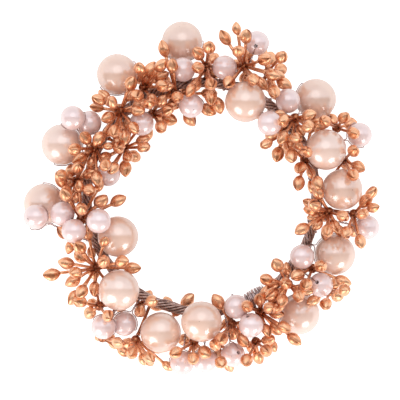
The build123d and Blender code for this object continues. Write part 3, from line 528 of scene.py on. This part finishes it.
def make_pearl(name, rng, material, slot, radius, bore):
    """A lathed pearl about its bore, slightly uneven, with rolled mouths and the bore's wall."""
    low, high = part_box(name)
    centre = (np.array(low) + np.array(high)) / 2
    found = [spine(points) for points in islands(nodes[name])]
    hole = min((item for item in found if item[2] > radius), key=lambda item: item[3])
    way = unit(hole[1] - hole[0])
    axes = np.array([way, *cross_frame(way)])
    swell = lumps(rng, 5, 1.2, 3.0)
    ripple = lumps(rng, 8, 7.0, 16.0)
    mouth = math.asin(bore / radius)
    face = radius * math.cos(mouth)
    # Places along the bore, their radii and tones: the wall, its mouth, the ball and back.
    wall = [(0.0, bore * 0.92, 0.6), (face * 0.6, bore * 0.92, 0.7), (face * 0.975, bore * 0.94, 0.85)]
    polar = mouth + (math.pi - 2 * mouth) * np.linspace(0, 1, PEARL_STEPS)
    ball = [(radius * math.cos(p), radius * math.sin(p), 1.0) for p in polar]
    outline = wall + ball + [(-z, r, tone) for z, r, tone in wall[::-1]]
    turns = circle(PEARL_SIDES)
    rows, tones = [], []
    for z, r, tone in outline:
        local = np.stack([np.full(PEARL_SIDES, z), r * np.cos(turns), r * np.sin(turns)], -1)
        ways = local / radius
        grow = np.full(PEARL_SIDES, 1.0 - PEARL_SWELL)
        if tone == 1:
            grow += PEARL_SWELL * swell(ways) + PEARL_RIPPLE * ripple(ways)
        rows.append(centre + (local * grow[:, None]) @ axes)
        tones.append(np.full(PEARL_SIDES, tone))
    build = Build()
    build.grid(rows[::-1], tones[::-1], capped=False)
    build.finish(name + "_lacquered", material, slot, name)
    return centre, way


def arc(middle, radius, start, end, steps):
    """Flat points along an arc."""
    turns = np.linspace(start, end, steps)
    return [(middle[0] + radius * math.cos(t), middle[1] + radius * math.sin(t)) for t in turns]


def hairpin(build, centre, bore_way, stem_way, end, pearl_radius, mouth):
    """A wire from the bore's middle, round the pearl and down its stem, twisted with its other half."""
    wrap = pearl_radius + WIRE_CLEARANCE + WIRE_RADIUS
    reach = wrap + FORK_BEND
    leave = math.acos((FORK_OFFSET + FORK_BEND) / reach)
    fork_height = reach * math.sin(leave)
    out = (wrap - MOUTH_BEND * (1 + math.sin(mouth))) / math.cos(mouth)
    spots = [(0.0, 0.0), (out * 0.5, 0.0), (out * 0.9, 0.0)]
    spots += arc((out, MOUTH_BEND), MOUTH_BEND, -math.pi / 2, mouth, MOUTH_STEPS)
    spots += arc((0.0, 0.0), wrap, mouth + WRAP_LEAD, leave, WRAP_STEPS)
    fork = (FORK_OFFSET + FORK_BEND, fork_height)
    spots += arc(fork, FORK_BEND, math.pi + leave, math.pi, FORK_STEPS)[1:]
    other = np.cross(stem_way, bore_way)
    run = end - fork_height
    steps = max(6, int(run / (TWIST_PITCH / TWIST_STEPS)))
    twists = max(1, round(run / TWIST_PITCH)) * 2 * math.pi
    for half in (1, -1):
        path = [centre + half * x * bore_way + y * stem_way for x, y in spots]
        for share in np.linspace(0, 1, steps)[1:]:
            turn = twists * share
            aside = FORK_OFFSET * half * (math.cos(turn) * bore_way + math.sin(turn) * other)
            path.append(centre + aside + (fork_height + run * share) * stem_way)
        build.tube(path, WIRE_RADIUS * WIRE_SLACK, WIRE_SIDES, np.linspace(1.0, 0.75, len(path)))


def stem_legs(node):
    """The middle lines of the paired straight legs of a node's hairpins."""
    legs = []
    for points in islands(nodes[node]):
        start, end, length, radius = spine(points)
        if radius < LEG_RADIUS and length > LEG_LENGTH:
            legs.append((start, end))
    pairs = []
    while legs:
        a, b = legs.pop(0)
        for place, (c, d) in enumerate(legs):
            if np.linalg.norm(a - c) > np.linalg.norm(a - d):
                c, d = d, c
            apart = (np.linalg.norm(a - c), np.linalg.norm(b - d))
            if max(abs(gap - 2 * FORK_OFFSET) for gap in apart) < LEG_MISMATCH:
                pairs.append(((a + c) / 2, (b + d) / 2))
                del legs[place]
                break
    return pairs


def stem_of(pairs, centre, radius):
    """The way and the reach of the legs that aim best at a pearl's middle, or None where no legs do."""
    found = []
    for ends in pairs:
        near, far = sorted(ends, key=lambda end: np.linalg.norm(end - centre))
        stem = unit(far - near)
        miss = near - centre
        off = np.linalg.norm(miss - stem * (miss @ stem))
        if off < STEM_MISS and abs(np.linalg.norm(miss) - radius) < STEM_GAP:
            found.append((off, stem, np.linalg.norm(far - centre)))
    return min(found, key=lambda item: item[0])[1:] if found else None


def make_pearls(size, materials, slot, radius, bore, mouth, first_seed):
    """All the pearls of one size, and the hairpin wires of those whose legs are found."""
    names = sorted(n for n in nodes if n.startswith(size + "_pearl_") and n[-2:].isdigit())
    pairs = stem_legs(size + "_pearl_wires")
    wires = Build()
    for index, name in enumerate(names):
        rng = np.random.default_rng(first_seed + index)
        material = materials[index % len(materials)]
        centre, way = make_pearl(name, rng, material, slot, radius, bore)
        stem = stem_of(pairs, centre, radius)
        if stem:
            hairpin(wires, centre, way, *stem, radius, mouth)
    wires.finish(size + "_pearl_hairpins", SILVER, "silver_wire", size + "_pearl_wires")


# Seed sprays.

def seed_outline(place, fat):
    """A bud's radius along it: full to both ends, out of its stem and into a small puckered nub."""
    body = fat * math.sin(math.pi * place ** 0.94) ** 0.66
    root = SEED_NECK * math.exp(-((place / 0.16) ** 2))
    nub = NUB_RADIUS * min(1.0, (1.0 - place) / 0.05) ** 0.5 if place > 0.8 else 0.0
    return max(body, root, nub)


def make_bud(build, rng, neck, way, side, up, length, fat):
    """A creased almond seed, squeezed where it would rise past the CAD box."""
    turns = circle(SEED_SIDES)
    flat = rng.uniform(*SEED_FLATNESS)
    ranges = ((0, 2 * math.pi), CREASE_WIDTH, CREASE_DEPTH, CREASE_SLANT)
    creases = [[rng.uniform(*span) for span in ranges] for _ in range(rng.integers(4, 6))]
    swell = lumps(rng, 6, 3.0, 7.0)
    bend = rng.uniform(*SEED_BEND) * length
    rows, tones = [], []
    for place in (1 - np.cos(np.linspace(0, math.pi, SEED_STEPS))) / 2:
        body = math.sin(math.pi * place) ** 0.6
        cut = np.zeros(SEED_SIDES)
        for angle, width, depth, slant in creases:
            gap = np.angle(np.exp(1j * (turns - angle - slant * place)))
            cut += depth * (0.35 + 0.9 * place) * np.exp(-(gap / width) ** 2)
        local = np.stack([np.cos(turns), np.sin(turns), np.full(SEED_SIDES, place * 2.5)], -1)
        reach = seed_outline(place, fat) * (1 - cut * body) * (1.0 + 0.05 * swell(local) * body)
        centre = neck + way * length * place + side * bend * math.sin(math.pi * place)
        rows.append(ring(centre, reach, turns, side, up * flat))
        # Painted shade: the tone falls in the creases and toward both ends of the seed, with a little
        # uneven tone on top.
        tones.append((1.0 - 3.8 * cut) * (0.72 + 0.28 * body) + 0.08 * swell(local * 1.7))
    rows = np.array(rows)
    foot, top = neck[2], rows[:, :, 2].max()
    if top > cad_high[2]:
        rows[:, :, 2] = foot + (rows[:, :, 2] - foot) * (cad_high[2] - foot) / (top - foot)
    build.grid(rows, np.clip(tones, 0.0, 1.0))


def make_stem(build, rng, hub, neck, way, side, up):
    """A fluted fleshy stem from inside the hub to just inside its seed."""
    start = hub + way * ROOT_DEPTH
    run = neck + way * STEM_OVERLAP - start
    span = np.linalg.norm(run)
    shares = np.linspace(0, 1, max(6, int(span / STEM_STEP)))
    sway = rng.uniform(-STEM_SWAY, STEM_SWAY, 2) * min(1.0, span / STEM_SWAY_LENGTH)
    path = [start + run * s + (side * sway[0] + up * sway[1]) * math.sin(math.pi * s) for s in shares]
    thick = STEM_RADIUS + STEM_GROWTH * shares + STEM_FLARE * np.exp(-shares * span / STEM_FLARE_LENGTH)
    turns = circle(STEM_SIDES)
    flute = 1 + 0.07 * np.sin(3 * turns + rng.uniform(0, 6))
    rows = [ring(point, reach * flute, turns, side, up) for point, reach in zip(path, thick)]
    # Painted shade: darker toward the hub, with three stripes round the stem as painted light and shade of
    # its flutes.
    shade = np.repeat(0.45 + 0.35 * shares, STEM_SIDES) + np.tile(0.12 * np.sin(3 * turns), len(path))
    build.grid(rows, np.clip(shade, 0, 1))


def make_seed(build, rng, hub, neck, tip, fat):
    """A seed and its stem, rolled by chance about their way."""
    way = unit(tip - neck)
    length = np.linalg.norm(tip - neck) + SEED_OVERLENGTH
    side, up = cross_frame(way)
    roll = rng.uniform(0, 2 * math.pi)
    side, up = math.cos(roll) * side + math.sin(roll) * up, math.cos(roll) * up - math.sin(roll) * side
    make_bud(build, rng, neck, way, side, up, length, fat * SEED_PLUMPNESS)
    make_stem(build, rng, hub, neck, way, side, up)


def make_hub(build, rng, hub):
    """The lumpy ball of flock and glue that the stems come out of."""
    swell = lumps(rng, 6, 1.5, 3.5)
    turns = circle(HUB_SIDES)
    rows, tones = [], []
    for p in np.linspace(math.pi - HUB_OPENING, HUB_OPENING, HUB_STEPS):
        height = np.full(HUB_SIDES, np.cos(p))
        ways = np.stack([np.sin(p) * np.cos(turns), np.sin(p) * np.sin(turns), height], -1)
        rise = swell(ways * 2)
        rows.append(hub + ways * (HUB_RADIUS * (0.94 + 0.05 * rise))[:, None])
        # The tone is low all over the ball and rises with the swelling that shapes it: painted light on its
        # bumps, painted shade in its dips.
        tones.append(0.3 + 0.2 * rise)
    build.grid(rows, np.clip(tones, 0, 1))


def spray_parts(name):
    """The seeds, stalks and hubs of a CAD node, told by the shapes of its surfaces."""
    seeds, stalks, hubs = [], [], []
    for points in islands(nodes[name]):
        centre, ball, miss = sphere_of(points)
        if abs(ball - HUB_RADIUS) < HUB_MISMATCH and miss < HUB_MISS:
            hubs.append(centre)
            continue
        start, end, length, radius = spine(points)
        if length > SEED_LENGTH and radius > SEED_RADIUS:
            seeds.append((start, end, radius))
        elif STALK_RADII[0] < radius < STALK_RADII[1] and length > STALK_LENGTH:
            stalks.append((start, end))
    return seeds, stalks, hubs


def make_spray(name, index):
    """All the sprays of one node, each seed on the hub that its axis passes nearest."""
    seeds, stalks, hubs = spray_parts(name)
    rng = np.random.default_rng(SPRAY_SEED + index)
    build = Build()
    for start, end, radius in seeds:
        way = unit(end - start)
        beside = [np.linalg.norm(np.cross(hub - start, way)) for hub in hubs]
        behind = [(start - hub) @ way < 0 for hub in hubs]
        near = int(np.argmin(np.where(behind, np.inf, beside)))
        make_seed(build, rng, hubs[near], start, end, radius)
    for hub in hubs:
        make_hub(build, rng, hub)
    for ends in stalks:
        hub = min(hubs, key=lambda h: min(np.linalg.norm(h - end) for end in ends))
        near, far = sorted(ends, key=lambda p: np.linalg.norm(p - hub))
        shares = np.linspace(0, 1, STALK_STEPS)
        path = [near + (far - near) * s for s in shares]
        span = np.linalg.norm(far - near)
        thick = STALK_RADIUS + STALK_FLARE * np.exp(-shares * span / STALK_FLARE_LENGTH)
        build.tube(path, thick, STALK_SIDES, 0.4 + 0.2 * np.sin(shares * 9 + index))
    build.finish(name + "_moulded", GILT[index % len(GILT)], "gilt", name)


# Floor, light and camera.

def make_floor():
    """A pale plain floor that the camera sees as white."""
    bpy.ops.mesh.primitive_plane_add(size=FLOOR_SIDE, location=(0, 0, -FLOOR_DROP))
    floor = bpy.context.object
    floor.name = "floor"
    material, tree, shader = new_material("pale_floor")
    paper = ramp(tree, noise(tree, 30.0, 3.0), [(0.3, (0.82, 0.81, 0.81)), (0.7, (0.84, 0.83, 0.83))])
    tree.links.new(paper, shader.inputs["Base Color"])
    shader.inputs["Roughness"].default_value = 0.9
    shader.inputs["Specular IOR Level"].default_value = 0.1
    rays = add(tree, "ShaderNodeLightPath")
    mirrored = scaled(tree, rays.outputs["Is Glossy Ray"], 0.38)
    seen = scaled(tree, rays.outputs["Is Camera Ray"], 0.9, mirrored)
    shader.inputs["Emission Color"].default_value = (1, 1, 1, 1)
    tree.links.new(seen, shader.inputs["Emission Strength"])
    floor.data.materials.append(material)


def make_world():
    """A plain studio: a bright side over the ring's top, a dimmer overhead and a pale horizon."""
    world = bpy.data.worlds.new("studio")
    bpy.context.scene.world = world
    world.use_nodes = True
    tree = world.node_tree
    back = tree.nodes["Background"]
    coords = add(tree, "ShaderNodeTexCoord")
    split = add(tree, "ShaderNodeSeparateXYZ")
    tree.links.new(coords.outputs["Generated"], split.inputs[0])
    across = add(tree, "ShaderNodeMapRange", From_Min=-1.0, From_Max=1.0)
    tree.links.new(split.outputs["Y"], across.inputs["Value"])
    sky = ramp(tree, across.outputs[0], [
        (0.0, (0.56, 0.54, 0.54)), (0.3, (0.42, 0.39, 0.38)), (0.53, (0.17, 0.145, 0.135)),
        (0.58, (0.84, 0.89, 0.98)), (0.75, (0.88, 0.92, 1.0)), (1.0, (0.7, 0.74, 0.8))])
    low = ramp(tree, split.outputs["Z"], [(0.0, WHITE), (0.16, BLACK)])
    light = mix(tree, low, sky, (0.86, 0.84, 0.84))
    # Matte surfaces take an even light, and only gloss mirrors the bands.
    rays = add(tree, "ShaderNodeLightPath")
    light = mix(tree, rays.outputs["Is Diffuse Ray"], light, (0.64, 0.64, 0.645))
    tree.links.new(light, back.inputs["Color"])
    back.inputs["Strength"].default_value = 1.2


def make_lamp(name, place, size, power, tint=(1.0, 0.97, 0.94)):
    """A round soft lamp that faces the ring's middle."""
    data = bpy.data.lights.new(name, "AREA")
    data.shape = "DISK"
    data.size = size
    data.energy = power
    data.color = tint
    lamp = bpy.data.objects.new(name, data)
    bpy.context.scene.collection.objects.link(lamp)
    lamp.location = place
    lamp.rotation_euler = (-Vector(place)).to_track_quat("-Z", "Y").to_euler()


def make_camera():
    """A far camera straight above, framed as the photo is."""
    data = bpy.data.cameras.new("camera")
    data.sensor_width = SENSOR
    data.lens = SENSOR * CAMERA_DISTANCE / (PHOTO_SIDE * PIXEL)
    data.clip_start = 0.05
    data.clip_end = 20.0
    camera = bpy.data.objects.new("camera", data)
    bpy.context.scene.collection.objects.link(camera)
    x, y = PHOTO_CENTRE
    camera.location = (
        (PHOTO_SIDE / 2 - x) * PIXEL, (y - PHOTO_SIDE / 2) * PIXEL, CAMERA_DISTANCE + RING_MIDDLE)
    bpy.context.scene.camera = camera


make_strands()
make_binding()
dress_hoop()
make_pearls("large", CREAM, "cream_pearl", 10.0 * MM, 1.0 * MM, math.radians(12.0), LARGE_PEARL_SEED)
make_pearls("small", BLUSH, "blush_pearl", 6.0 * MM, 0.9 * MM, math.radians(15.0), SMALL_PEARL_SEED)
for number, spray in enumerate(sorted(n for n in nodes if n.startswith("seed_spray_"))):
    make_spray(spray, number)
make_floor()
make_world()
make_lamp("key_left", (-0.46, -0.56, 0.30), 0.58, 2.15)
make_lamp("key_right", (0.40, -0.64, 0.24), 0.42, 1.6)
make_lamp("top_soft", (0.0, 0.5, 0.9), 0.9, 1.2, (1.0, 0.99, 0.99))
make_camera()
bpy.context.scene.view_settings.view_transform = "Standard"
